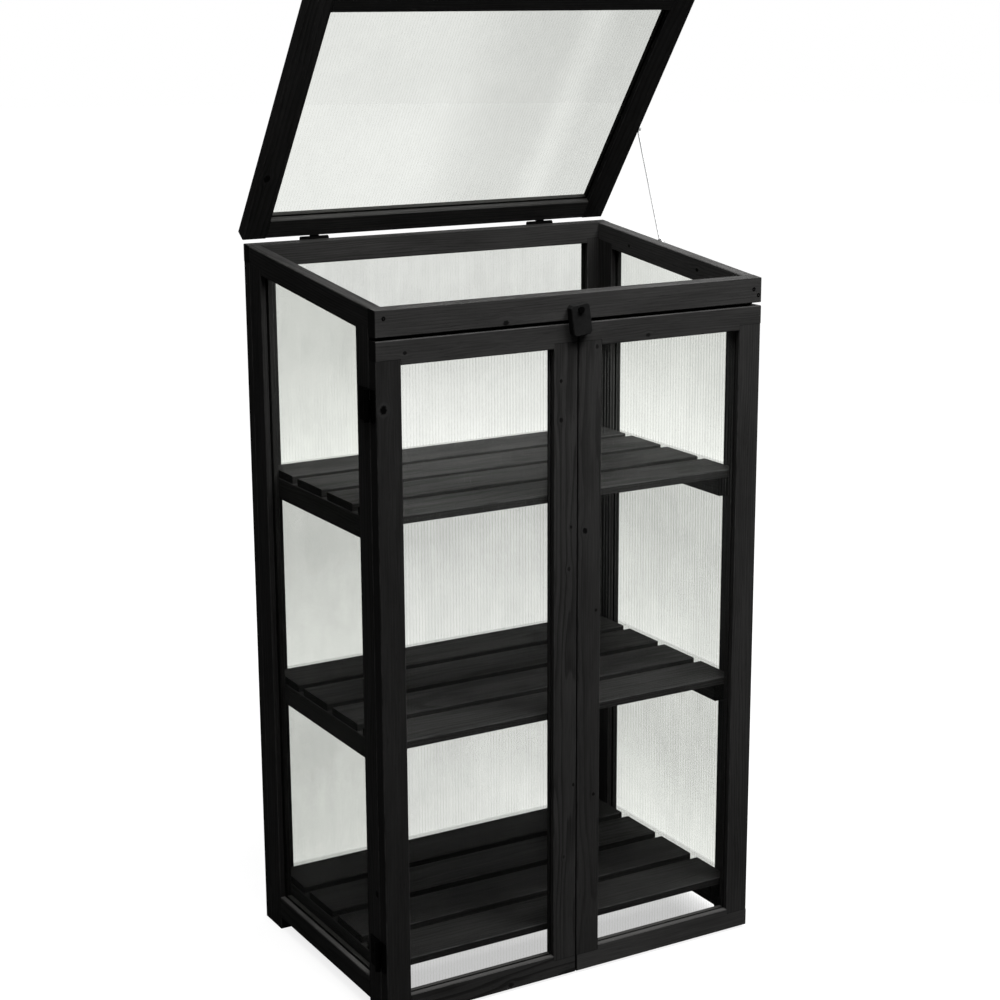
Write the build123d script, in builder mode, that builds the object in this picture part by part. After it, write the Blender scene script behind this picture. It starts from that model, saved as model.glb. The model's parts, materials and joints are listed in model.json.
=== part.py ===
"""Balcony greenhouse: slatted shelves in a glazed softwood frame, two doors and a sloping lid.

Millimetres, +Z up, origin on the floor under the middle of the outline, front towards -Y.
The doors are shut, the turn button hangs over both of them and the lid stands on its stay.
"""

import os
from math import cos, radians, sin, tan

from build123d import *

# Overall frame
width = 700
depth = 472
back_height = 1190
roof_angle = 6.4

# Boards that every frame is made from
board_t = 22
stile_w = 42
rail_w = 38
back_stile_w = 46
front_rail_h = 40
ease = 1.2

# Twin-wall glazing sheet and the groove that holds it
panel_t = 4
panel_skin = 0.5
panel_rib = 0.45
flute_pitch = 8.5
groove_d = 9
groove_play = 0.3
panel_end_play = 0.5

# Joints between the boards
bottom_rail_lift = 21
tongue_inset = 6

# Shelves
shelf_tops = {"bottom": 93, "middle": 459, "top": 819}
slat_w = 91
slat_t = 13
slat_gap_least = 8
slat_end_play = 1
shelf_edge_play = 2.5
cleat_t = 22
cleat_h = 36
cleat_lap = 20

# Doors
door_floor_gap = 5
door_head_gap = 5
door_meeting_gap = 3
door_back_gap = 0.5

# Strip behind the front rail that the doors shut against
stop_t = 12
stop_lap = 14
stop_hold = 22
stop_end_play = 0.5

# Butt hinges, one size for the doors and the lid
hinge_len = 50
leaf_w = 18
side_leaf_w = 32
leaf_t = 1.6
leaf_corner = 3
knuckle_r = 4.5
knuckle_sides = 16
knuckle_gap = 0.5
pin_r = 2
running_play = 0.05
upper_hinge_drop = 97
lower_hinge_rise = 112
lid_hinge_x = 220

# Turn button on the front rail
button_w = 34
button_len = 49
button_t = 12
button_pivot_inset = 8.5
button_corner = 4
button_pivot_x = -3.5
button_pivot_drop = 23
button_tilt = 8
button_face_gap = 0.9

# Pan head screws that the button and the stay turn on
screw_r = 2.5
screw_head_r = 5
screw_head_t = 3
screw_bite = 16

# Lid
lid_len = 488
lid_seat_gap = 0.9
lid_open = 60

# Stay rod that props the lid up by a peg in its right edge
stay_rod_r = 2.5
stay_eye_r = 8
stay_eye_t = 4
stay_face_gap = 2.5
stay_pivot_y = 57
stay_pivot_drop = 5.5
stay_peg_reach = 201
peg_r = 2.5
peg_head_r = 4.5
peg_head_t = 2
fork_play = 0.3

# Places that follow from the sizes above
half_w = width / 2
side_y = depth / 2 - board_t
side_x = half_w - board_t
roof = radians(roof_angle)
groove_w = panel_t + 2 * groove_play
panel_hold = groove_d - panel_end_play
groove_inset = tongue_inset - panel_end_play
hinge_off = knuckle_r + leaf_t / 2
tilt = radians(lid_open) - roof
lid_mid = lid_seat_gap + hinge_off * sin(roof) + board_t / 2

# The outline reaches from the turn button's screw head to the lid's raised back edge
button_reach = button_face_gap + button_t + running_play + screw_head_t
lid_reach = hinge_off - hinge_off * cos(tilt) + (lid_mid + board_t / 2) * sin(tilt)
centring_y = (button_reach - lid_reach) / 2


def roof_z(y):
    """Height of the sloping top of the frame at a given depth."""
    return back_height - (depth / 2 - y) * tan(roof)


def export(piece, label):
    """Centre a finished piece over the origin, name it and write it to its own file."""
    placed = piece.moved(Location((0, centring_y, 0)))
    placed.label = label
    export_step(placed, f"parts/{label}.step")


def board(origin, inward, along, board_w, thickness, length):
    """A plain board with eased corners, laid from its outer edge inward."""
    with BuildPart() as piece:
        with BuildSketch(Plane(origin, x_dir=inward, z_dir=along)):
            with Locations((board_w / 2, 0)):
                Rectangle(board_w, thickness)
            chamfer(vertices(), length=ease)
        extrude(amount=length)
    return piece.part


def grooved(origin, inward, along, board_w, length, groove_from=0, groove_to=0):
    """A board with a glazing groove in its inner edge, stopped short of either end if asked."""
    blank = board(origin, inward, along, board_w, board_t, length)
    start = Plane(origin, x_dir=inward, z_dir=along)
    with BuildPart() as piece:
        add(blank)
        with BuildSketch(start.offset(groove_from)):
            with Locations((board_w - groove_d / 2, 0)):
                Rectangle(groove_d, groove_w)
        extrude(amount=length - groove_from - groove_to, mode=Mode.SUBTRACT)
    return piece.part


def capping_rail(origin, inward, along, length, end_w):
    """A rail that lies over the ends of the stiles, its groove lips cut away above them."""
    blank = grooved(origin, inward, along, rail_w, length)
    start = Plane(origin, x_dir=inward, z_dir=along)
    with BuildPart() as piece:
        add(blank)
        for distance in (0, length - end_w):
            with BuildSketch(start.offset(distance)):
                with Locations((rail_w - groove_d / 2, 0)):
                    Rectangle(groove_d, board_t)
            extrude(amount=end_w, mode=Mode.SUBTRACT)
    return piece.part


def tongued_rail(origin, inward, along, length):
    """A rail that fits between the stiles, with a tongue at each end for their grooves."""
    blank = grooved(origin, inward, along, rail_w, length)
    start = Plane(origin, x_dir=inward, z_dir=along)
    tongue_w = rail_w - groove_d - panel_end_play - tongue_inset
    with BuildPart() as piece:
        add(blank)
        with BuildSketch(start.offset(-panel_hold)):
            with Locations((tongue_inset + tongue_w / 2, 0)):
                Rectangle(tongue_w, panel_t)
        extrude(amount=length + 2 * panel_hold)
    return piece.part


def twin_wall(origin, across, along, sheet_w, sheet_h):
    """Twin-wall sheet: two thin skins joined by ribs, with open flutes along its height."""
    flutes = int((sheet_w - panel_rib) // flute_pitch)
    with BuildPart() as sheet:
        with BuildSketch(Plane(origin, x_dir=across, z_dir=along)):
            Rectangle(sheet_w, panel_t)
            with GridLocations(flute_pitch, panel_t, flutes, 1):
                Rectangle(flute_pitch - panel_rib, panel_t - 2 * panel_skin, mode=Mode.SUBTRACT)
        extrude(amount=sheet_h)
    return sheet.part


def hinge_leaf(centre, outward, axis, reach, outer_knuckles):
    """Half of a butt hinge: a plate on one side of the pin and its share of the knuckles.

    Knuckles and their bores are many-sided rather than round, as they repeat so often.
    """
    third = hinge_len / 3
    clear = knuckle_r + knuckle_gap
    pin_line = Plane(centre, x_dir=outward, z_dir=axis)
    plate_plane = Plane(pin_line.origin - pin_line.y_dir * hinge_off, x_dir=outward, z_dir=pin_line.y_dir)
    if outer_knuckles:
        notches = [(clear / 2, 0)]
        knuckles = [(-hinge_len / 2, third - knuckle_gap), (third / 2 + knuckle_gap, third - knuckle_gap)]
    else:
        notches = [(clear / 2, -third), (clear / 2, third)]
        knuckles = [(-third / 2, third)]
    with BuildPart() as leaf:
        with BuildSketch(plate_plane):
            with Locations((reach / 2, 0)):
                Rectangle(reach, hinge_len)
            chamfer(vertices().group_by(Axis(centre, outward))[-1], length=leaf_corner)
            with Locations(notches):
                Rectangle(clear, third + knuckle_gap, mode=Mode.SUBTRACT)
        extrude(amount=leaf_t)
        for start, span in knuckles:
            with BuildSketch(pin_line.offset(start)):
                RegularPolygon(knuckle_r, knuckle_sides)
            extrude(amount=span)
        with BuildSketch(pin_line.offset(-hinge_len / 2)):
            RegularPolygon(pin_r + running_play, knuckle_sides, major_radius=False)
        extrude(amount=hinge_len, mode=Mode.SUBTRACT)
    return leaf.part


def headed_pin(seat, outward, shank_r, shank_len, head_r, head_t):
    """A round shank under a flat head: the seat is where the underside of the head bears."""
    under_head = Plane(seat, z_dir=outward)
    with BuildPart() as piece:
        with BuildSketch(under_head):
            Circle(head_r)
        extrude(amount=head_t)
        with BuildSketch(under_head):
            Circle(shank_r)
        extrude(amount=-shank_len)
    return piece.part


os.makedirs("parts", exist_ok=True)

roof_plane = Plane((0, depth / 2, back_height), x_dir=(1, 0, 0), z_dir=(0, -sin(roof), cos(roof)))
stile_head = roof_plane.offset(groove_d - rail_w)
glass_head = stile_head.offset(-panel_end_play)
front_height = roof_z(-depth / 2)
stay_x = half_w + stay_face_gap + stay_eye_t / 2
stay_foot = Vector(stay_x, stay_pivot_y, roof_z(stay_pivot_y) - stay_pivot_drop)
stay_screw_len = stay_eye_t + stay_face_gap + screw_bite

# Side frames: stiles that run down as feet, a tongued bottom rail and a sloping capping rail
side_opening = 2 * (side_y - stile_w)
lip_drop = (rail_w - groove_d) / cos(roof)
for name, side in (("left", -1), ("right", 1)):
    mid_x = side * (half_w - board_t / 2)
    for place, end in (("front", -1), ("back", 1)):
        blank = grooved(
            (mid_x, end * side_y, 0),
            (0, -end, 0),
            (0, 0, 1),
            stile_w,
            back_height,
            bottom_rail_lift + groove_inset,
        )
        with BuildPart() as side_stile:
            add(blank)
            split(bisect_by=stile_head, keep=Keep.BOTTOM)
        export(side_stile.part, f"{name}_side_{place}_stile")

    rail = tongued_rail(
        (mid_x, stile_w - side_y, bottom_rail_lift), (0, 0, 1), (0, 1, 0), side_opening
    )
    export(rail, f"{name}_side_bottom_rail")

    rail_start = Vector(mid_x, -depth, roof_z(-depth))
    blank = grooved(rail_start, -roof_plane.z_dir, roof_plane.y_dir, rail_w, 2 * depth)
    with BuildPart() as side_top_rail:
        add(blank)
        split(bisect_by=Plane.XZ.offset(side_y), keep=Keep.BOTTOM)
        split(bisect_by=Plane.XZ.offset(-side_y), keep=Keep.TOP)
        for end in (-1, 1):
            with BuildSketch(Plane.YZ.offset(mid_x - board_t)):
                with BuildLine():
                    outer_y, inner_y = end * side_y, end * side_opening / 2
                    outer_z = roof_z(outer_y) - lip_drop
                    inner_z = roof_z(inner_y) - lip_drop
                    Polyline(
                        (outer_y, outer_z),
                        (inner_y, inner_z),
                        (inner_y, inner_z - rail_w),
                        (outer_y, outer_z - rail_w),
                        close=True,
                    )
                make_face()
            extrude(amount=2 * board_t, mode=Mode.SUBTRACT)
        if side > 0:
            with BuildSketch(Plane(stay_foot, z_dir=(1, 0, 0))):
                Circle(screw_r + running_play)
            extrude(amount=-stay_screw_len, mode=Mode.SUBTRACT)
    export(side_top_rail.part, f"{name}_side_top_rail")

    sill = bottom_rail_lift + rail_w - panel_hold
    sheet = twin_wall((mid_x, 0, sill), (0, 1, 0), (0, 0, 1), side_opening + 2 * panel_hold, back_height)
    with BuildPart() as side_panel:
        add(sheet)
        split(bisect_by=glass_head, keep=Keep.BOTTOM)
    export(side_panel.part, f"{name}_side_panel")

# Back frame, behind the side frames and as wide as the whole greenhouse
back_mid_y = side_y + board_t / 2
back_opening = width - 2 * back_stile_w
for name, side in (("left", -1), ("right", 1)):
    stile = grooved(
        (side * half_w, back_mid_y, 0),
        (-side, 0, 0),
        (0, 0, 1),
        back_stile_w,
        back_height - rail_w + groove_d,
        bottom_rail_lift + groove_inset,
    )
    export(stile, f"back_{name}_stile")

rail = tongued_rail(
    (-back_opening / 2, back_mid_y, bottom_rail_lift), (0, 0, 1), (1, 0, 0), back_opening
)
export(rail, "back_bottom_rail")

blank = capping_rail((-half_w, back_mid_y, back_height), (0, 0, -1), (1, 0, 0), width, back_stile_w)
with BuildPart() as back_top_rail:
    add(blank)
    split(bisect_by=roof_plane, keep=Keep.BOTTOM)
export(back_top_rail.part, "back_top_rail")

sill = bottom_rail_lift + rail_w - panel_hold
sheet_h = back_height - rail_w + panel_hold - sill
sheet = twin_wall((0, back_mid_y, sill), (1, 0, 0), (0, 0, 1), back_opening + 2 * panel_hold, sheet_h)
export(sheet, "back_panel")

# Front top rail above the doors, bevelled to the slope of the lid
front_mid_y = -side_y - board_t / 2
button_pivot_z = front_height - button_pivot_drop
button_face_y = -depth / 2 - button_face_gap - button_t - running_play
button_seat = Vector(button_pivot_x, button_face_y, button_pivot_z)
button_screw_len = running_play + button_t + button_face_gap + screw_bite
front_rail_bottom = front_height - front_rail_h
blank = board(
    (-half_w, front_mid_y, front_rail_bottom), (0, 0, 1), (1, 0, 0), 2 * front_rail_h, board_t, width
)
with BuildPart() as front_top_rail:
    add(blank)
    split(bisect_by=roof_plane, keep=Keep.BOTTOM)
    with BuildSketch(Plane(button_seat, z_dir=(0, -1, 0))):
        Circle(screw_r + running_play)
    extrude(amount=-button_screw_len, mode=Mode.SUBTRACT)
export(front_top_rail.part, "front_top_rail")

# Door stop on the back of the front rail, reaching down behind the top rails of the doors
stop_start = (stop_end_play - side_x, stop_t / 2 - side_y, front_rail_bottom + stop_hold)
stop_h = stop_hold + door_head_gap + stop_lap
stop_len = 2 * (side_x - stop_end_play)
export(board(stop_start, (0, 0, -1), (1, 0, 0), stop_h, stop_t, stop_len), "door_stop")

# Shelves: slats on a pair of cleats, which are fixed to the insides of the side frames
cleat_len = side_opening + 2 * cleat_lap
shelf_depth = 2 * (side_y - shelf_edge_play)
slats = int((shelf_depth + slat_gap_least) // (slat_w + slat_gap_least))
slat_step = (shelf_depth - slat_w) / (slats - 1)
for shelf, top in shelf_tops.items():
    for number in range(slats):
        y = (number - (slats - 1) / 2) * slat_step
        slat = board(
            (slat_end_play - side_x, y - slat_w / 2, top - slat_t / 2),
            (0, 1, 0),
            (1, 0, 0),
            slat_w,
            slat_t,
            2 * (side_x - slat_end_play),
        )
        export(slat, f"{shelf}_shelf_slat_{number + 1}")
    for name, side in (("left", -1), ("right", 1)):
        cleat = board(
            (side * (side_x - cleat_t / 2), -cleat_len / 2, top - slat_t),
            (0, 0, -1),
            (0, 1, 0),
            cleat_h,
            cleat_t,
            cleat_len,
        )
        export(cleat, f"{shelf}_shelf_{name}_cleat")

# Doors: capping rails over two stiles, hung on the outsides of the side frames
door_y = -side_y - door_back_gap - board_t / 2
door_w = half_w - door_meeting_gap / 2
door_top = front_rail_bottom - door_head_gap
door_stile_z = door_floor_gap + rail_w - groove_d
door_stile_len = door_top - door_floor_gap - 2 * (rail_w - groove_d)
door_opening = door_w - 2 * stile_w
for name, side in (("left", -1), ("right", 1)):
    hinge_edge = side * half_w
    meeting_edge = side * door_meeting_gap / 2
    for place, edge, inward in (("hinge", hinge_edge, -side), ("meeting", meeting_edge, side)):
        stile = grooved((edge, door_y, door_stile_z), (inward, 0, 0), (0, 0, 1), stile_w, door_stile_len)
        export(stile, f"{name}_door_{place}_stile")
    rail_x = min(hinge_edge, meeting_edge)
    rail = capping_rail((rail_x, door_y, door_top), (0, 0, -1), (1, 0, 0), door_w, stile_w)
    export(rail, f"{name}_door_top_rail")
    rail = capping_rail((rail_x, door_y, door_floor_gap), (0, 0, 1), (1, 0, 0), door_w, stile_w)
    export(rail, f"{name}_door_bottom_rail")
    sheet_z = door_stile_z + panel_end_play
    sheet_x = (hinge_edge + meeting_edge) / 2
    sheet_h = door_stile_len - 2 * panel_end_play
    sheet_w = door_opening + 2 * panel_hold
    sheet = twin_wall((sheet_x, door_y, sheet_z), (1, 0, 0), (0, 0, 1), sheet_w, sheet_h)
    export(sheet, f"{name}_door_panel")

# Lid, drawn in a plane through its hinge line that is already swung open
lid_hinge = Vector(0, depth / 2 + hinge_off, back_height)
lid_plane = Plane(lid_hinge, x_dir=(1, 0, 0), z_dir=(0, sin(tilt), cos(tilt)))
lid_back = -hinge_off
lid_front = lid_back - lid_len
to_front = -lid_plane.y_dir


def lid_point(x, y):
    """A point in the middle of the lid's thickness, y measured from its hinge line."""
    return lid_plane.from_local_coords(Vector(x, y, lid_mid))


peg_bite = screw_bite
stay_peg_at = lid_point(half_w, -stay_peg_reach)
peg_len = peg_bite + stay_face_gap + stay_eye_t + fork_play
for name, side in (("left", -1), ("right", 1)):
    blank = grooved(
        lid_point(side * half_w, lid_back),
        (-side, 0, 0),
        to_front,
        stile_w,
        lid_len,
        groove_inset,
        groove_inset,
    )
    with BuildPart() as lid_stile:
        add(blank)
        if side > 0:
            with BuildSketch(Plane(stay_peg_at, z_dir=(1, 0, 0))):
                Circle(peg_r + running_play)
            extrude(amount=-peg_bite, mode=Mode.SUBTRACT)
    export(lid_stile.part, f"lid_{name}_stile")

lid_opening = width - 2 * stile_w
rail = tongued_rail(lid_point(-lid_opening / 2, lid_front), lid_plane.y_dir, (1, 0, 0), lid_opening)
export(rail, "lid_front_rail")
rail = tongued_rail(lid_point(-lid_opening / 2, lid_back), to_front, (1, 0, 0), lid_opening)
export(rail, "lid_back_rail")
sheet_start = lid_point(0, lid_back - rail_w + panel_hold)
sheet_h = lid_len - 2 * (rail_w - panel_hold)
sheet = twin_wall(sheet_start, (1, 0, 0), to_front, lid_opening + 2 * panel_hold, sheet_h)
export(sheet, "lid_panel")

# Hinges: leaves on the frame, leaves on what swings and the pins that join them
door_hinge_y = -side_y - door_back_gap / 2
door_hinge_x = half_w + hinge_off
door_hinge_heights = (lower_hinge_rise, door_top - upper_hinge_drop)
frame_leaves = []
pin_lines = []
for name, side in (("left", -1), ("right", 1)):
    door_leaves = []
    for z in door_hinge_heights:
        centre = Vector(side * door_hinge_x, door_hinge_y, z)
        frame_leaves.append(hinge_leaf(centre, (0, 1, 0), (0, 0, -side), side_leaf_w, True))
        door_leaves.append(hinge_leaf(centre, (0, -1, 0), (0, 0, side), leaf_w, False))
        pin_lines.append(Plane(centre, z_dir=(0, 0, 1)))
    with BuildPart() as door_hinge_leaves:
        add(door_leaves)
    export(door_hinge_leaves.part, f"{name}_door_hinge_leaves")

lid_leaves = []
for x in (-lid_hinge_x, lid_hinge_x):
    centre = lid_hinge + Vector(x, 0, 0)
    frame_leaves.append(hinge_leaf(centre, (0, 0, -1), (1, 0, 0), leaf_w, True))
    lid_leaves.append(hinge_leaf(centre, lid_plane.z_dir, (-1, 0, 0), leaf_w, False))
    pin_lines.append(Plane(centre, z_dir=(1, 0, 0)))
with BuildPart() as lid_hinge_leaves:
    add(lid_leaves)
export(lid_hinge_leaves.part, "lid_hinge_leaves")

with BuildPart() as frame_hinge_leaves:
    add(frame_leaves)
export(frame_hinge_leaves.part, "frame_hinge_leaves")

with BuildPart() as hinge_pins:
    for line in pin_lines:
        with BuildSketch(line.offset(-hinge_len / 2)):
            Circle(pin_r)
        extrude(amount=hinge_len)
export(hinge_pins.part, "hinge_pins")

# Turn button that holds both doors shut, and its pivot screw
button_back = Vector(button_pivot_x, -depth / 2 - button_face_gap, button_pivot_z)
button_across = Vector(1, 0, 0).rotate(Axis.Y, -button_tilt)
button_plane = Plane(button_back, x_dir=button_across, z_dir=(0, -1, 0))
with BuildPart() as turn_button:
    with BuildSketch(button_plane):
        with Locations((0, button_pivot_inset - button_len / 2)):
            Rectangle(button_w, button_len)
        chamfer(vertices(), length=button_corner)
    extrude(amount=button_t)
    chamfer(turn_button.faces().sort_by(Axis.Y)[0].edges(), length=ease)
    with BuildSketch(button_plane):
        Circle(screw_r + running_play)
    extrude(amount=button_t, mode=Mode.SUBTRACT)
export(turn_button.part, "turn_button")
screw = headed_pin(button_seat, (0, -1, 0), screw_r, button_screw_len, screw_head_r, screw_head_t)
export(screw, "turn_button_screw")

# Stay: an eye at its foot, a round rod and a fork that cups the lid's peg
stay_head = Vector(stay_x, stay_peg_at.Y, stay_peg_at.Z)
stay_dir = (stay_head - stay_foot).normalized()
stay_len = (stay_head - stay_foot).length
stay_plane = Plane(stay_foot, x_dir=stay_dir, z_dir=(1, 0, 0))
fork_r = peg_r + fork_play
rod_start = (stay_eye_r + screw_head_r) / 2
with BuildPart() as lid_stay:
    with BuildSketch(Plane(stay_foot + stay_dir * rod_start, z_dir=stay_dir)):
        Circle(stay_rod_r)
    extrude(amount=stay_len - 2 * rod_start)
    with BuildSketch(stay_plane.offset(-stay_eye_t / 2)):
        with Locations((0, 0), (stay_len, 0)):
            Circle(stay_eye_r)
    extrude(amount=stay_eye_t)
    with BuildSketch(stay_plane.offset(-stay_eye_t)):
        Circle(screw_r + running_play)
        with Locations((stay_len, 0)):
            Circle(fork_r)
        with Locations((stay_len + stay_eye_r, 0)):
            Rectangle(2 * stay_eye_r, 2 * fork_r)
    extrude(amount=2 * stay_eye_t, mode=Mode.SUBTRACT)
export(lid_stay.part, "lid_stay")
stay_seat = stay_foot + Vector(stay_eye_t / 2 + running_play, 0, 0)
screw = headed_pin(
    stay_seat, (1, 0, 0), screw_r, stay_screw_len + running_play, screw_head_r, screw_head_t
)
export(screw, "stay_screw")
peg_seat = stay_peg_at + Vector(peg_len - peg_bite, 0, 0)
peg = headed_pin(peg_seat, (1, 0, 0), peg_r, peg_len, peg_head_r, peg_head_t)
export(peg, "stay_peg")
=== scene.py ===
import json
import math
import random

import bmesh
import bpy
from mathutils import Euler, Matrix, Vector


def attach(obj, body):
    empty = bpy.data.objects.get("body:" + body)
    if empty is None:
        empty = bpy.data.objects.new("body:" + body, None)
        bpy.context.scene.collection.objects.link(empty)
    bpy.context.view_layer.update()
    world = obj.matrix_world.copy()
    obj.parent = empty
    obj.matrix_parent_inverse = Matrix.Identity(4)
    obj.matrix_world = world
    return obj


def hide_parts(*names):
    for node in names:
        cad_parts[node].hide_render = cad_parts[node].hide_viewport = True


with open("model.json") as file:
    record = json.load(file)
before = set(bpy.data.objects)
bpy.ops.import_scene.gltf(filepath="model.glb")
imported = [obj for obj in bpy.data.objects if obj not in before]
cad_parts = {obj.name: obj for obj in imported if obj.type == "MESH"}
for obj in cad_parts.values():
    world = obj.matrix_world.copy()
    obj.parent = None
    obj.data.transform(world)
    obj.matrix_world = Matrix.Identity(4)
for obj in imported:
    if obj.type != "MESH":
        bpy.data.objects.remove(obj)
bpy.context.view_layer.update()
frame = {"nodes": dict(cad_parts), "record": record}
scene = bpy.context.scene
nodes = frame["nodes"]
body_of = {}
for body, members in frame["record"]["behaviour"]["bodies"].items():
    for member in members:
        body_of[member] = body

# How the sloping members lie, in degrees and radians: the top slopes down to the front, and the
# lid stands open above it.
SLOPE = 6.4
LID_OPEN = 60.0
ROOF = math.radians(SLOPE)
LID = math.radians(LID_OPEN - SLOPE)

# Places and sizes in metres, in the frame that the CAD model shares.
HALF_WIDTH = 0.35
HALF_DEPTH = 0.236
DOOR_FACE = -0.2386
SHELF_TOPS = (0.095, 0.461, 0.821)
FLUTE_PITCH = 0.0054
FLUTE_SKIN = 0.0005
FLUTE_RIB = 0.00045
X = (1, 0, 0)
Y = (0, 1, 0)
Z = (0, 0, 1)
LID_UP = (0, -math.cos(LID), math.sin(LID))
SIDES = ((-1, "left"), (1, "right"))

# Specular level of everything stained, painted or blackened.
SHEEN = 0.02


class Tree:
    """Short calls for making shader nodes and the links between them."""

    def __init__(self, tree):
        self.tree = tree

    def node(self, kind, inputs=(), **settings):
        made = self.tree.nodes.new(kind)
        for key, value in settings.items():
            setattr(made, key, value)
        for key, value in dict(inputs).items():
            self.feed(made.inputs[key], value)
        return made

    def feed(self, socket, value):
        if isinstance(value, bpy.types.NodeSocket):
            self.tree.links.new(value, socket)
        else:
            socket.default_value = value

    def math(self, operation, *values, clamp=False):
        made = self.node("ShaderNodeMath", operation=operation, use_clamp=clamp)
        for socket, value in zip(made.inputs, values):
            self.feed(socket, value)
        return made.outputs[0]

    def add(self, first, second):
        return self.math("ADD", first, second)

    def times(self, first, second):
        return self.math("MULTIPLY", first, second)

    def larger(self, first, second):
        return self.math("MAXIMUM", first, second)

    def vector(self, operation, *values):
        made = self.node("ShaderNodeVectorMath", operation=operation)
        for socket, value in zip(made.inputs, values):
            self.feed(socket, value)
        return made.outputs["Value" if operation == "LENGTH" else "Vector"]

    def parts(self, vector):
        return self.node("ShaderNodeSeparateXYZ", {"Vector": vector}).outputs

    def rotated(self, vector, turn):
        made = self.node("ShaderNodeMapping", {"Vector": vector, "Rotation": turn})
        return made.outputs[0]

    def noise(self, vector, scale, detail=2.0, roughness=0.5, output=0):
        inputs = {"Vector": vector, "Scale": scale, "Detail": detail, "Roughness": roughness}
        return self.node("ShaderNodeTexNoise", inputs).outputs[output]

    def stretched(self, vector, cells, detail=2.0, roughness=0.5, output=0):
        """Noise with its own number of cells per metre in each direction."""
        fine = self.vector("MULTIPLY", vector, cells)
        return self.noise(fine, 1.0, detail, roughness, output)

    def span(self, value, low, high, to_low=0.0, to_high=1.0, smooth=True):
        """Brings low..high onto to_low..to_high and holds the ends."""
        ends = {"From Min": low, "From Max": high, "To Min": to_low, "To Max": to_high}
        kind = "SMOOTHSTEP" if smooth else "LINEAR"
        inputs = {"Value": value, **ends}
        return self.node("ShaderNodeMapRange", inputs, interpolation_type=kind).outputs[0]

    def mix(self, factor, first, second):
        made = self.node("ShaderNodeMix", data_type="RGBA")
        self.feed(made.inputs[0], factor)
        self.feed(made.inputs[6], first)
        self.feed(made.inputs[7], second)
        return made.outputs[2]

    def blend(self, factor, first, second):
        shaders = {1: first.outputs[0], 2: second.outputs[0]}
        return self.node("ShaderNodeMixShader", {"Fac": factor, **shaders})

    def bump(self, height, strength, distance):
        inputs = {"Strength": strength, "Distance": distance, "Height": height}
        return self.node("ShaderNodeBump", inputs).outputs[0]

    def principled(self, **inputs):
        named = {key.replace("_", " "): value for key, value in inputs.items()}
        return self.node("ShaderNodeBsdfPrincipled", named)

    def show(self, shader):
        self.node("ShaderNodeOutputMaterial", {"Surface": shader.outputs[0]})


def new_material(name):
    """A material with an empty tree, and where its coordinates come from."""
    material = bpy.data.materials.new(name)
    material.use_nodes = True
    material.node_tree.nodes.clear()
    t = Tree(material.node_tree)
    return material, t, t.node("ShaderNodeTexCoord").outputs


def grey(value, warm=0.0):
    return (value * (1 + warm), value, value * (1 - warm), 1.0)


def pale(value):
    """The faintly green tint of the plastic sheets."""
    return (value * 0.996, value, value * 0.991, 1.0)


# Black stained softwood. The cells of its noises are given along the grain and across it.
SWAY_CELLS = (2.2, 14.0, 14.0)
SWAY_REACH = (0.0, 0.026, 0.026)
RING_WIDTH = 0.0041
RING_CELLS = (1.0, 60.0, 60.0)
RING_JITTER = 1.6
FIBRE_CELLS = (9.0, 620.0, 620.0)
FLECK_CELLS = (38.0, 1500.0, 1500.0)
BLOTCH_CELLS = (5.0, 22.0, 22.0)
WEAR_AND_HIGHLIGHT_CELLS = (30.0, 120.0, 120.0)
PAINTED_TOP_LIGHT_CELLS = (12.0, 160.0, 160.0)
DARK_STAIN = grey(0.0125, 0.02)
PALE_STAIN = grey(0.031, 0.015)
FLECK = grey(0.008)
KNOT = grey(0.001)
# Colour of the painted glint round a knot.
KNOT_GLINT = grey(0.045)
WEAR_AND_HIGHLIGHT = grey(0.06, 0.01)
SEAM = grey(0.003)


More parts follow.
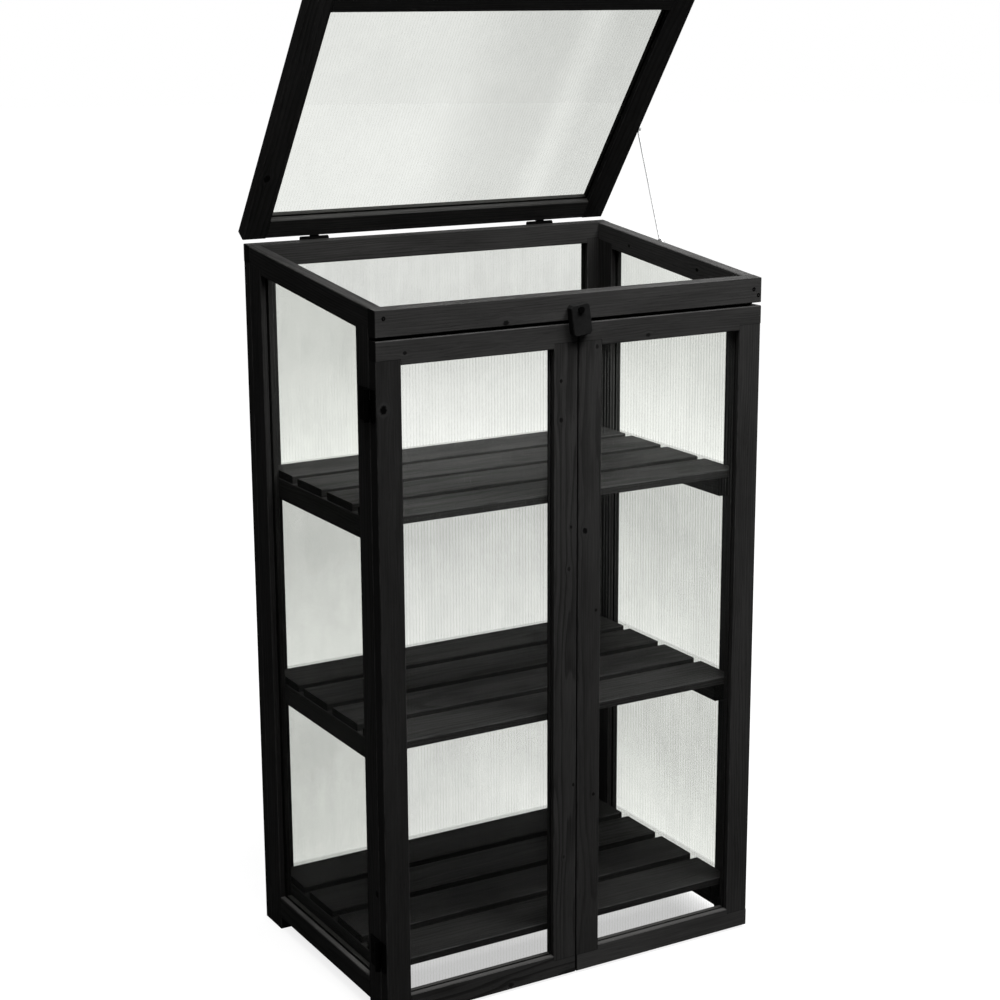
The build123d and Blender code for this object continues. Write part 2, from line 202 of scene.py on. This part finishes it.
def wood_group():
    """Wood with its grain along the first coordinate of the vector that the group is given.

    Figure is how strongly the year rings show and Tone how pale that board is drawn: its own
    stain, and on some boards painted light and shade as well.
    """
    group = bpy.data.node_groups.new("stained_softwood", "ShaderNodeTree")
    for name, kind in (("Vector", "Vector"), ("Figure", "Float"), ("Tone", "Float")):
        group.interface.new_socket(name, in_out="INPUT", socket_type="NodeSocket" + kind)
    for name, kind in (("Color", "Color"), ("Roughness", "Float"), ("Height", "Float")):
        group.interface.new_socket(name, in_out="OUTPUT", socket_type="NodeSocket" + kind)
    t = Tree(group)
    entry = t.node("NodeGroupInput").outputs
    leave = t.node("NodeGroupOutput")
    spot = entry["Vector"]

    # Year rings: shells round the first axis, bent and uneven, with a dark late edge.
    sway = t.stretched(spot, SWAY_CELLS, output="Color")
    sway = t.vector("SUBTRACT", sway, (0.5, 0.5, 0.5))
    bent = t.vector("ADD", spot, t.vector("MULTIPLY", sway, SWAY_REACH))
    radius = t.vector("LENGTH", t.vector("MULTIPLY", bent, (0.0, 1.0, 1.0)))
    jitter = t.times(t.stretched(bent, RING_CELLS), RING_JITTER)
    ring = t.math("FRACT", t.add(t.math("DIVIDE", radius, RING_WIDTH), jitter))
    late = t.times(t.span(ring, 0.35, 0.86), t.span(ring, 0.9, 1.0, 1.0, 0.0))
    shown = t.times(t.math("SUBTRACT", late, 0.35), entry["Figure"])

    # Fibre, flecks and blotches of stain.
    fibre = t.stretched(bent, FIBRE_CELLS, 3.0, 0.6)
    fleck = t.span(t.stretched(bent, FLECK_CELLS, 1.0), 0.62, 0.72)
    blotch = t.stretched(spot, BLOTCH_CELLS, 3.0, 0.55)
    tone = t.add(t.times(t.span(fibre, 0.3, 0.75), 0.36), 0.14)
    tone = t.add(tone, t.times(t.span(blotch, 0.3, 0.7), 0.3))
    tone = t.math("SUBTRACT", tone, shown, clamp=True)
    colour = t.mix(tone, DARK_STAIN, PALE_STAIN)
    colour = t.mix(t.times(fleck, 0.5), colour, FLECK)
    scaled = {0: colour, "Scale": entry["Tone"]}
    colour = t.node("ShaderNodeVectorMath", scaled, operation="SCALE").outputs[0]
    rough = t.math("SUBTRACT", 0.74, t.times(tone, 0.2))
    height = t.add(t.times(shown, -0.8), t.times(fibre, 0.8))
    height = t.math("SUBTRACT", height, t.times(fleck, 0.5))
    t.feed(leave.inputs["Color"], colour)
    t.feed(leave.inputs["Roughness"], rough)
    t.feed(leave.inputs["Height"], height)
    return group


WOOD = wood_group()

# Euler turns that bring each direction of grain onto the first coordinate.
GRAIN = {
    "x": (0.0, 0.0, 0.0),
    "y": (0.0, 0.0, -math.pi / 2),
    "z": (0.0, math.pi / 2, 0.0),
    "roof": (-ROOF, 0.0, -math.pi / 2),
    "lid_across": (LID, 0.0, 0.0),
    "lid_along": (LID, 0.0, math.pi / 2),
}

# How far from a board's end its dark seam starts and is full.
SEAM_START = 0.0011
SEAM_FULL = 0.0004
# Knots from this radius on have a painted glint round them that shows.
LARGE_KNOT = 0.005


def stained_wood(name, grain, seed, figure, tone, ends, knots=(), painted_top_light=None):
    """One board's own material: grain along it, its own piece of the tree, its knots.

    The joints at its two ends, given as places along the grain, show as dark hairlines.
    Painted_top_light is the level of a paler colour on upper faces: a painted highlight for the
    light from above.
    """
    chance = random.Random(seed)
    material, t, place = new_material(name)
    turned = t.rotated(place["Object"], GRAIN[grain])
    along_shift = chance.uniform(-9, 9)
    side_shift = chance.uniform(0.03, 0.11) * chance.choice((-1, 1))
    shift = (along_shift, side_shift, chance.uniform(0.02, 0.07))
    along = t.parts(turned)["X"]
    from_middle = t.math("ABSOLUTE", t.math("SUBTRACT", along, sum(ends) / 2))
    half = (ends[1] - ends[0]) / 2
    seam = t.span(from_middle, half - SEAM_START, half - SEAM_FULL)

    # A knot draws the grain in round it, and has a ragged edge and a paler rim, which is a painted
    # highlight: the glint at its edge.
    dark = 0.0
    painted_glint = 0.0
    ragged = t.noise(turned, 420.0)
    for centre, radius, flat, depth in knots:
        middle = tuple(Euler(GRAIN[grain]).to_matrix() @ Vector(centre))
        away = t.vector("SUBTRACT", turned, middle)
        stretch = [0.8 / radius, 1.0 / radius, 1.0 / radius]
        stretch[flat] = 0.0
        near = t.vector("LENGTH", t.vector("MULTIPLY", away, tuple(stretch)))
        fall = t.math("EXPONENT", t.times(t.math("POWER", near, 2.0), -0.22))
        pull = t.math("SUBTRACT", 1.0, t.times(0.85, fall))
        squeezed = t.node("ShaderNodeCombineXYZ", {"X": 1.0, "Y": pull, "Z": pull}).outputs[0]
        turned = t.vector("ADD", t.vector("MULTIPLY", away, squeezed), middle)
        edge = t.add(near, t.times(t.math("SUBTRACT", ragged, 0.5), 0.9))
        dark = t.larger(dark, t.span(edge, 1.1, 0.7, 0.0, depth))
        ring = t.times(t.span(edge, 1.9, 1.4), t.span(edge, 0.95, 1.15))
        painted_glint = t.larger(painted_glint, t.times(ring, 0.14 if radius > LARGE_KNOT else 0.03))

    bent = t.vector("ADD", turned, shift)
    wood = t.node("ShaderNodeGroup", node_tree=WOOD)
    for key, value in (("Vector", bent), ("Figure", figure), ("Tone", tone)):
        t.feed(wood.inputs[key], value)
    colour = wood.outputs["Color"]
    if knots:
        colour = t.mix(painted_glint, colour, KNOT_GLINT)
        colour = t.mix(dark, colour, KNOT)
    # Upper faces drawn paler, in patches: painted light from above.
    if painted_top_light:
        rise = t.parts(place["Normal"])["Z"]
        patchy = t.span(t.stretched(bent, PAINTED_TOP_LIGHT_CELLS), 0.25, 0.75, 0.75, 1.0)
        share = t.times(t.span(rise, 0.6, 0.9), patchy)
        colour = t.mix(share, colour, grey(painted_top_light, 0.02))

    # Edges are where the surface faces none of the board's own three directions. They are drawn
    # paler: partly rubbed wear, partly a painted highlight along the eased edges.
    facing = t.rotated(place["Normal"], GRAIN[grain])
    facing = t.parts(t.vector("ABSOLUTE", facing))
    square = t.larger(t.larger(facing[0], facing[1]), facing[2])
    wear_and_highlight_patches = t.span(t.stretched(bent, WEAR_AND_HIGHLIGHT_CELLS), 0.25, 0.7)
    wear_and_highlight = t.times(t.span(square, 0.97, 0.85), wear_and_highlight_patches)
    colour = t.mix(t.times(wear_and_highlight, 0.6), colour, WEAR_AND_HIGHLIGHT)
    colour = t.mix(t.times(seam, 0.75), colour, SEAM)
    normal = t.bump(wood.outputs["Height"], 0.4, 0.0005)
    surface = t.principled(
        Base_Color=colour, Roughness=wood.outputs["Roughness"], Normal=normal
    )
    surface.inputs["Specular IOR Level"].default_value = SHEEN
    t.show(surface)
    return material


def black_steel():
    material, t, place = new_material("black_steel")
    cloud = t.noise(place["Object"], 260.0, 3.0, 0.6)
    pits = t.noise(place["Object"], 1400.0, 2.0, 0.6)
    colour = t.mix(t.span(cloud, 0.35, 0.7), grey(0.0006), grey(0.0014))
    rough = t.span(pits, 0.3, 0.7, 0.5, 0.68)
    normal = t.bump(pits, 0.25, 0.0002)
    surface = t.principled(Base_Color=colour, Roughness=rough, Normal=normal)
    surface.inputs["Specular IOR Level"].default_value = SHEEN
    t.show(surface)
    return material


def bright_steel():
    """Zinc plated wire: pale and hardly mirroring, with fine marks from drawing."""
    material, t, place = new_material("bright_steel")
    drawn = t.stretched(place["Object"], (2600.0, 2600.0, 160.0), 2.0, 0.6)
    shade = t.span(drawn, 0.3, 0.7)
    colour = t.mix(shade, (0.88, 0.89, 0.89, 1.0), (0.97, 0.98, 0.98, 1.0))
    rough = t.span(drawn, 0.3, 0.7, 0.3, 0.45)
    t.show(t.principled(Base_Color=colour, Roughness=rough))
    return material


def painted_wood():
    """The turn button: smooth, evenly black, with faint tool marks."""
    material, t, place = new_material("painted_button")
    cloud = t.noise(place["Object"], 90.0, 3.0, 0.55)
    marks = t.stretched(place["Object"], (900.0, 900.0, 60.0))
    colour = t.mix(t.span(cloud, 0.3, 0.7), grey(0.0075), grey(0.0105))
    rough = t.span(marks, 0.3, 0.7, 0.55, 0.68)
    normal = t.bump(marks, 0.2, 0.0003)
    surface = t.principled(Base_Color=colour, Roughness=rough, Normal=normal)
    surface.inputs["Specular IOR Level"].default_value = SHEEN
    t.show(surface)
    return material


def upward(t, spot):
    """Clearer towards the top."""
    return t.span(t.parts(spot)["Z"], 0.0, 1.1)


def painted_shade_by_bay(t, spot):
    """Clearest just above each shelf, duller below the next one, and dullest in the middle bay:
    painted shade from the shelves above and in the middle bay.
    """
    z = t.parts(spot)["Z"]
    share = t.span(z, 0.1, 1.1, 0.0, 0.35)
    for shelf in SHELF_TOPS:
        near = t.span(z, shelf + 0.2, shelf, 0.0, 0.65, smooth=False)
        above = t.math("GREATER_THAN", z, shelf - 0.003)
        share = t.add(share, t.times(near, above))
    middle = t.times(t.span(z, 0.44, 0.46, 0.0, 0.3), t.span(z, 0.8, 0.82, 1.0, 0.0))
    return t.math("SUBTRACT", share, middle)


def streaked(t, spot):
    """The lid's sheet: clearer on the left and low down, with one clear streak on the right."""
    part = t.parts(spot)
    share = t.span(part["X"], 0.09, -0.09, 0.0, 0.72)
    share = t.add(share, t.span(part["Z"], 1.6, 1.25, 0.0, 0.28))
    off = t.math("ABSOLUTE", t.math("SUBTRACT", part["X"], 0.185))
    return t.add(share, t.span(off, 0.05, 0.0, 0.0, 0.4))


def sheet_skin(name, dull, clear, pattern):
    """Clear plastic: light goes straight through, more or less tinted, and mirrors at a slant."""
    material, t, place = new_material(name)
    spot = place["Object"]
    haze = t.noise(spot, 6.0, 4.0, 0.6)
    smear = t.stretched(spot, (60.0, 60.0, 9.0), 3.0, 0.6)
    cloud = t.add(t.times(haze, 0.55), t.times(smear, 0.25))
    share = t.times(pattern(t, spot), 0.8)
    share = t.add(t.span(cloud, 0.24, 0.56, 0.0, 0.2), share)
    through = t.node("ShaderNodeBsdfTransparent", {"Color": t.mix(share, dull, clear)})
    glossy = {"Color": (0.92, 0.93, 0.92, 1.0), "Roughness": 0.12}
    mirror = t.node("ShaderNodeBsdfGlossy", glossy)
    slant = t.node("ShaderNodeLayerWeight", {"Blend": 0.5}).outputs["Facing"]
    gloss = t.times(t.math("POWER", slant, 8.0), 0.3)
    t.show(t.blend(gloss, through, mirror))
    return material


def sheet_rib(name, tint, milk_low, milk_high):
    """The webs between the skins: clear too, with milky scatter in them. More of it higher up is
    painted light, for the brighter light there.
    """
    material, t, place = new_material(name)
    spot = place["Object"]
    z = t.parts(spot)["Z"]
    uneven = t.stretched(spot, (150.0, 150.0, 6.0), 3.0, 0.6)
    through = t.node("ShaderNodeBsdfTransparent", {"Color": pale(tint)})
    milky = {"Color": (0.86, 0.88, 0.85, 1.0)}
    lit = t.node("ShaderNodeBsdfDiffuse", milky)
    glow = t.node("ShaderNodeBsdfTranslucent", milky)
    cloudy = t.blend(0.5, lit, glow)
    # Painted light: the milk rises with height, where more light falls.
    milk = t.span(z, 0.3, 1.0, milk_low, milk_high)
    milk = t.times(milk, t.span(uneven, 0.3, 0.7, 0.6, 1.4))
    t.show(t.blend(milk, through, cloudy))
    return material


BLACK = black_steel()
BRIGHT = bright_steel()
BUTTON = painted_wood()
DOOR_RIB = sheet_rib("door_rib", 0.985, 0.01, 0.05)
SIDE_RIB = sheet_rib("side_rib", 0.99, 0.001, 0.001)
BACK_RIB = sheet_rib("back_rib", 0.975, 0.006, 0.006)
DOOR_SKIN = sheet_skin("door_skin", grey(0.975), grey(0.984), upward)
SIDE_SKIN = sheet_skin("left_side_skin", grey(0.965), grey(0.97), upward)
BACK_SKIN = sheet_skin("back_skin", pale(0.85), pale(0.995), painted_shade_by_bay)
RIGHT_SKIN = sheet_skin("right_side_skin", pale(0.852), pale(0.998), painted_shade_by_bay)
LID_SKIN = sheet_skin("lid_skin", pale(0.882), pale(0.964), streaked)

# Vertices this close to a sheet's edge belong to it.
NEAR_EDGE = 0.0005
RIB_SLOT = 1


def twin_wall(node, across, along, skin, rib):
    """Stands for a glazing sheet: the same outline, with flutes at their real spacing."""
    across = Vector(across)
    along = Vector(along)
    normal = across.cross(along)
    spots = [v.co for v in nodes[node].data.vertices]
    left = min(p.dot(across) for p in spots)
    right = max(p.dot(across) for p in spots)
    front = min(p.dot(normal) for p in spots)
    back = max(p.dot(normal) for p in spots)
    low = min(p.dot(along) for p in spots)
    top_left = max(p.dot(along) for p in spots if p.dot(across) < left + NEAR_EDGE)
    top_right = max(p.dot(along) for p in spots if p.dot(across) > right - NEAR_EDGE)
    count = int((right - left - FLUTE_RIB) // FLUTE_PITCH)
    margin = (right - left - count * FLUTE_PITCH) / 2
    columns = [left]
    for i in range(count):
        start = left + margin + i * FLUTE_PITCH + FLUTE_RIB / 2
        columns += [start, start + FLUTE_PITCH - FLUTE_RIB]
    columns.append(right)
    rows = [front, front + FLUTE_SKIN, back - FLUTE_SKIN, back]
    mesh = bpy.data.meshes.new(node + "_twin_wall")
    made = bmesh.new()
    corners = {}

    def corner(i, j, end):
        if (i, j, end) not in corners:
            share = (columns[i] - left) / (right - left)
            height = top_left + (top_right - top_left) * share if end else low
            spot = across * columns[i] + normal * rows[j] + along * height
            corners[i, j, end] = made.verts.new(spot)
        return corners[i, j, end]

    def solid(i, j):
        inside = 0 <= i < len(columns) - 1 and 0 <= j < 3
        return inside and not (j == 1 and i % 2 == 1)

    for i in range(len(columns) - 1):
        for j in range(3):
            if not solid(i, j):
                continue
            ring = [(i, j), (i + 1, j), (i + 1, j + 1), (i, j + 1)]
            made.faces.new([corner(*p, 1) for p in ring])
            made.faces.new([corner(*p, 0) for p in reversed(ring)])
            for side, (di, dj) in enumerate(((0, -1), (1, 0), (0, 1), (-1, 0))):
                if solid(i + di, j + dj):
                    continue
                a = ring[side]
                b = ring[(side + 1) % 4]
                around = [corner(*a, 0), corner(*b, 0), corner(*b, 1), corner(*a, 1)]
                wall = made.faces.new(around)
                if di and j == 1 and 0 < i < len(columns) - 2:
                    wall.material_index = RIB_SLOT
    made.normal_update()
    made.to_mesh(mesh)
    made.free()
    sheet = bpy.data.objects.new(node + "_sheet", mesh)
    scene.collection.objects.link(sheet)
    mesh.materials.append(skin)
    mesh.materials.append(rib)
    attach(sheet, body_of[node])
    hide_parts(node)


twin_wall("left_door_panel", X, Z, DOOR_SKIN, DOOR_RIB)
twin_wall("right_door_panel", X, Z, DOOR_SKIN, DOOR_RIB)
twin_wall("back_panel", X, Z, BACK_SKIN, BACK_RIB)
twin_wall("left_side_panel", Y, Z, SIDE_SKIN, SIDE_RIB)
twin_wall("right_side_panel", Y, Z, RIGHT_SKIN, SIDE_RIB)
twin_wall("lid_panel", X, LID_UP, LID_SKIN, BACK_RIB)


def grain_of(node):
    if node.startswith("lid_"):
        return "lid_along" if "stile" in node else "lid_across"
    if "stile" in node:
        return "z"
    if node.endswith("side_top_rail"):
        return "roof"
    if "cleat" in node or node.endswith("side_bottom_rail"):
        return "y"
    return "x"


# Knots that show: where each lies, its radius, which coordinate along and across the grain points
# out of the board, and how dark it is.
KNOTS = {
    "left_door_hinge_stile": [((-0.3385, DOOR_FACE, 0.990), 0.0058, 1, 1.0)],
    "left_door_top_rail": [((-0.3018, DOOR_FACE, 1.0718), 0.003, 1, 0.8)],
    "left_door_meeting_stile": [
        ((-0.0313, DOOR_FACE, 1.0041), 0.0028, 1, 0.85),
        ((-0.0311, DOOR_FACE, 0.9428), 0.0036, 1, 0.75),
        ((-0.0125, DOOR_FACE, 0.7695), 0.0022, 1, 0.8),
        ((-0.0160, DOOR_FACE, 0.7015), 0.0030, 1, 0.6),
        ((-0.0065, DOOR_FACE, 0.3368), 0.0025, 1, 0.8),
        ((-0.0249, DOOR_FACE, 0.2148), 0.0024, 1, 0.5),
    ],
    "left_door_bottom_rail": [((-0.1250, DOOR_FACE, 0.0125), 0.0045, 1, 0.7)],
    "right_door_meeting_stile": [
        ((0.0343, DOOR_FACE, 1.0521), 0.0032, 1, 0.7),
        ((0.0136, DOOR_FACE, 0.7595), 0.0046, 1, 0.9),
        ((0.0352, DOOR_FACE, 0.6260), 0.0024, 1, 0.8),
        ((0.0326, DOOR_FACE, 0.3127), 0.0028, 1, 0.8),
    ],
    "right_door_top_rail": [((0.1296, DOOR_FACE, 1.0620), 0.0034, 1, 0.7)],
    "front_top_rail": [((-0.1290, DOOR_FACE, 1.1021), 0.0045, 1, 0.85)],
    "left_side_front_stile": [((-0.35, -0.2080, 0.2132), 0.0046, 2, 1.0)],
    "right_side_top_rail": [
        ((0.328, -0.0907, 1.1349), 0.0034, 1, 1.0),
        ((0.328, 0.1140, 1.1551), 0.003, 1, 0.8),
    ],
    "lid_left_stile": [((-0.3367, 0.1602, 1.2990), 0.006, 2, 0.8)],
}
# How strongly a board's rings show and how pale it is drawn: most boards, slats, and those that
# differ from the rest. Besides real differences in the stain, some tones are painted light and
# shade: the bottom slats and the lid's front rail and right stile are darkened as painted shade,
# and the right side's top rail and the lid's back rail are paled as painted light.
USUAL_BOARD = (0.3, 1.0)
SLAT = (0.3, 0.9)
SHADED_BOTTOM_SLAT = (0.3, 0.65)
BOARDS = {
    "front_top_rail": (0.16, 1.24),
    "left_door_top_rail": (0.12, 1.15),
    "right_door_top_rail": (0.2, 1.14),
    "left_door_hinge_stile": (0.1, 0.68),
    "left_door_meeting_stile": (0.5, 1.0),
    "left_door_bottom_rail": (0.8, 0.95),
    "right_door_bottom_rail": (0.1, 1.65),
    "right_side_top_rail": (0.2, 1.9),
    "back_top_rail": (0.3, 1.15),
    "lid_left_stile": (0.3, 1.3),
    "lid_back_rail": (0.3, 1.7),
    "lid_front_rail": (0.3, 0.85),
    "lid_right_stile": (0.3, 0.65),
}
# Foot rails whose upper faces get a painted highlight for the light from above, and its level.
PAINTED_TOP_LIGHT = {
    "left_door_bottom_rail": 0.055,
    "right_door_bottom_rail": 0.06,
    "left_side_bottom_rail": 0.085,
    "right_side_bottom_rail": 0.085,
    "back_bottom_rail": 0.06,
}
STEEL_BLACK = (
    "frame_hinge_leaves",
    "hinge_pins",
    "left_door_hinge_leaves",
    "right_door_hinge_leaves",
    "lid_hinge_leaves",
    "turn_button_screw",
    "stay_screw",
)
STEEL_BRIGHT = ("lid_stay", "stay_peg")
FIRST_SEED = 11


def board_look(node):
    if "slat" in node:
        return SHADED_BOTTOM_SLAT if node.startswith("bottom") else SLAT
    return BOARDS.get(node, USUAL_BOARD)


def board_finish(node, thing, seed):
    figure, tone = board_look(node)
    grain = grain_of(node)
    turn = Euler(GRAIN[grain]).to_matrix()
    places = [(turn @ v.co).x for v in thing.data.vertices]
    ends = (min(places), max(places))
    knots = KNOTS.get(node, ())
    return stained_wood("wood_" + node, grain, seed, figure, tone, ends, knots, PAINTED_TOP_LIGHT.get(node))


for order, (node, thing) in enumerate(sorted(nodes.items())):
    if node in STEEL_BLACK:
        finish = BLACK
    elif node in STEEL_BRIGHT:
        finish = BRIGHT
    elif node == "turn_button":
        finish = BUTTON
    elif node.endswith("_panel"):
        finish = BACK_SKIN
    else:
        finish = board_finish(node, thing, order + FIRST_SEED)
    thing.data.materials.clear()
    thing.data.materials.append(finish)

# How far a screw head and its slot go in below the surface, and its turn for each metre of place.
HEAD_SUNK = 0.0003
SLOT_SUNK = 0.0002
HEAD_TURN = 40.0


def screw_head(name, body, at, outward, radius=0.0034, height=0.0009):
    """A cross-slotted screw head, sunk a little into what it holds."""
    made = bmesh.new()
    arm, half = radius * 0.62, radius * 0.16
    cross = []
    for turn in range(4):
        spin = Matrix.Rotation(turn * math.pi / 2, 2)
        for x, y in ((arm, -half), (arm, half), (half, half)):
            cross.append(spin @ Vector((x, y)))
    around = [p.normalized() for p in cross]
    loops = [
        [(p * radius, -HEAD_SUNK) for p in around],
        [(p * radius, height * 0.55) for p in around],
        [(p * radius * 0.82, height) for p in around],
        [(p, height) for p in cross],
        [(p * 0.8, -SLOT_SUNK) for p in cross],
    ]
    rings = [[made.verts.new((p.x, p.y, z)) for p, z in loop] for loop in loops]
    made.faces.new(reversed(rings[0]))
    for lower, upper in zip(rings, rings[1:]):
        for i in range(len(lower)):
            j = (i + 1) % len(lower)
            made.faces.new((lower[i], lower[j], upper[j], upper[i]))
    made.faces.new(rings[-1])
    aim = Vector(outward).to_track_quat("Z", "Y").to_matrix().to_4x4()
    spin = Matrix.Rotation(sum(at) * HEAD_TURN, 4, "Z")
    made.transform(Matrix.Translation(at) @ aim @ spin)
    mesh = bpy.data.meshes.new(name)
    made.to_mesh(mesh)
    made.free()
    mesh.materials.append(BLACK)
    head = bpy.data.objects.new(name, mesh)
    scene.collection.objects.link(head)
    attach(head, body)


# Screws in the hinge leaves. Those of the doors are given from the pin, backwards and upwards.
DOOR_PIN_Y = -0.2168
LEAF_FACE = 0.3516
DOOR_HINGES = (("lower", 0.112), ("upper", 0.9951))
LEAF_REACH = 0.0118
LEAF_SPREAD = 0.0155
FRAME_SCREWS = ((0.0125, -0.0165), (0.0125, 0.0165), (0.0245, 0.0))
DOOR_SCREWS = ((-LEAF_REACH, -LEAF_SPREAD), (-LEAF_REACH, LEAF_SPREAD))
for side, name in SIDES:
    leaves = (("frame", "carcass", FRAME_SCREWS), ("door", f"{name}_door", DOOR_SCREWS))
    for level, z in DOOR_HINGES:
        for leaf, body, spots in leaves:
            for i, (dy, dz) in enumerate(spots, 1):
                at = (side * LEAF_FACE, DOOR_PIN_Y + dy, z + dz)
                screw_head(f"{name}_{level}_{leaf}_screw_{i}", body, at, (side, 0, 0))

LID_PIN = Vector((0.0, 0.238744, 1.19))
LID_NORMAL = Vector((0.0, math.sin(LID), math.cos(LID)))
LID_EDGE = -Vector(LID_UP)
LID_HINGE_X = 0.22
PIN_TO_FACE = 0.0037
for side, name in SIDES:
    for i, dx in enumerate((-LEAF_SPREAD, LEAF_SPREAD), 1):
        x = Vector((side * LID_HINGE_X + dx, 0.0, 0.0))
        at = LID_PIN + x + Vector((0.0, -PIN_TO_FACE, -LEAF_REACH))
        screw_head(f"lid_{name}_frame_screw_{i}", "carcass", at, Y)
        at = LID_PIN + x + LID_NORMAL * LEAF_REACH - LID_EDGE * PIN_TO_FACE
        screw_head(f"lid_{name}_lid_screw_{i}", "lid", at, LID_EDGE)

# Flatter screws that hold the front rail to the side frames.
RAIL_FACE = -0.238556
RAIL_SCREWS = ((-0.3356, 1.1251), (0.3352, 1.1193), (0.3445, 1.1090))
for i, (x, z) in enumerate(RAIL_SCREWS, 1):
    at = (x, RAIL_FACE, z)
    screw_head(f"front_rail_screw_{i}", "carcass", at, (0, -1, 0), 0.0033, 0.0004)

# Floor and world: white where the camera sees them, straight or through a sheet, and where gloss
# mirrors what is behind the object. Elsewhere they are plain and dim.
FLOOR_RADIUS = 30.0
FLOOR_GREY = 0.16
WORLD_LEVEL = 0.05
ground = bpy.data.meshes.new("floor")
shape = bmesh.new()
bmesh.ops.create_circle(shape, cap_ends=True, segments=96, radius=FLOOR_RADIUS)
shape.to_mesh(ground)
shape.free()
floor = bpy.data.objects.new("floor", ground)
scene.collection.objects.link(floor)


def white_share(t, direction):
    """1 where the white background is seen: straight on, through a sheet, or mirrored."""
    path = t.node("ShaderNodeLightPath").outputs
    seen = t.larger(path["Is Camera Ray"], path["Is Transmission Ray"])
    part = t.parts(direction)
    behind = t.times(t.span(part["Y"], -0.1, 0.5), t.span(part["X"], -0.4, 0.1))
    return t.larger(seen, t.times(path["Is Glossy Ray"], behind))


def pale_floor():
    """Matt, and white to the camera: dimmer under the object as a painted shadow, and purest well
    away from it.
    """
    material, t, place = new_material("pale_floor")
    spot = place["Object"]
    matt = t.node("ShaderNodeBsdfDiffuse", {"Color": grey(FLOOR_GREY)})
    part = t.parts(t.vector("ABSOLUTE", spot))
    across = t.math("DIVIDE", part["X"], HALF_WIDTH)
    reach = t.larger(across, t.math("DIVIDE", part["Y"], HALF_DEPTH))
    away = t.span(t.vector("LENGTH", spot), 0.9, 2.6, 0.0, 0.1)
    # Lower glow inside the object's footprint: a painted shadow under the object.
    level = t.add(away, t.span(reach, 0.8, 1.05, 0.59, 0.925))
    strength = t.times(white_share(t, spot), level)
    glow = t.node("ShaderNodeEmission", {"Strength": strength})
    t.show(t.node("ShaderNodeAddShader", {0: matt.outputs[0], 1: glow.outputs[0]}))
    return material


def studio():
    world = bpy.data.worlds.new("studio")
    world.use_nodes = True
    world.node_tree.nodes.clear()
    t = Tree(world.node_tree)
    direction = t.node("ShaderNodeTexCoord").outputs["Generated"]
    level = t.larger(white_share(t, direction), WORLD_LEVEL)
    sky = t.node("ShaderNodeBackground", {"Color": grey(1.0), "Strength": level})
    t.node("ShaderNodeOutputWorld", {"Surface": sky.outputs[0]})
    return world


ground.materials.append(pale_floor())
scene.world = studio()


def soft_box(name, at, towards, size, power):
    lamp = bpy.data.lights.new(name, "AREA")
    lamp.shape = "SQUARE"
    lamp.size = size
    lamp.energy = power
    held = bpy.data.objects.new(name, lamp)
    held.location = at
    aim = Vector(towards) - Vector(at)
    held.rotation_euler = aim.to_track_quat("-Z", "Y").to_euler()
    scene.collection.objects.link(held)


# Lamps: where each hangs, what it points at, its side in metres and its power in watts.
AT_FRONT = (0.0, -0.1, 0.8)
AT_MIDDLE = (0.0, 0.0, 0.7)
soft_box("key_light", (1.0, -1.35, 3.4), AT_FRONT, 1.3, 140)
soft_box("left_light", (-0.5, -1.2, 3.6), AT_FRONT, 1.3, 80)
soft_box("right_light", (1.8, 1.6, 2.6), AT_MIDDLE, 1.3, 25)
soft_box("back_light", (0.9, 2.6, 2.0), AT_MIDDLE, 1.6, 12)

# The camera that took the photograph, from the fit to its straight edges.
CAMERA_RIGHT = (0.8639967, -0.50347307, -0.00495697)
CAMERA_UP = (0.12308638, 0.20165842, 0.97169111)
CAMERA_BACK = (-0.48822069, -0.84014805, 0.23620289)
CAMERA_AT = (-1.67559, -2.87923, 1.57175)
lens = bpy.data.cameras.new("camera")
lens.sensor_width = 36.0
lens.lens = 73.74
lens.clip_start = 0.05
lens.clip_end = 60.0
camera = bpy.data.objects.new("camera", lens)
rows = list(zip(CAMERA_RIGHT, CAMERA_UP, CAMERA_BACK, CAMERA_AT))
camera.matrix_world = Matrix(rows + [(0.0, 0.0, 0.0, 1.0)])
scene.collection.objects.link(camera)
scene.camera = camera
scene.view_settings.view_transform = "Standard"
# A line of sight may cross several sheets, each with four faces and its ribs.
scene.cycles.transparent_max_bounces = 48
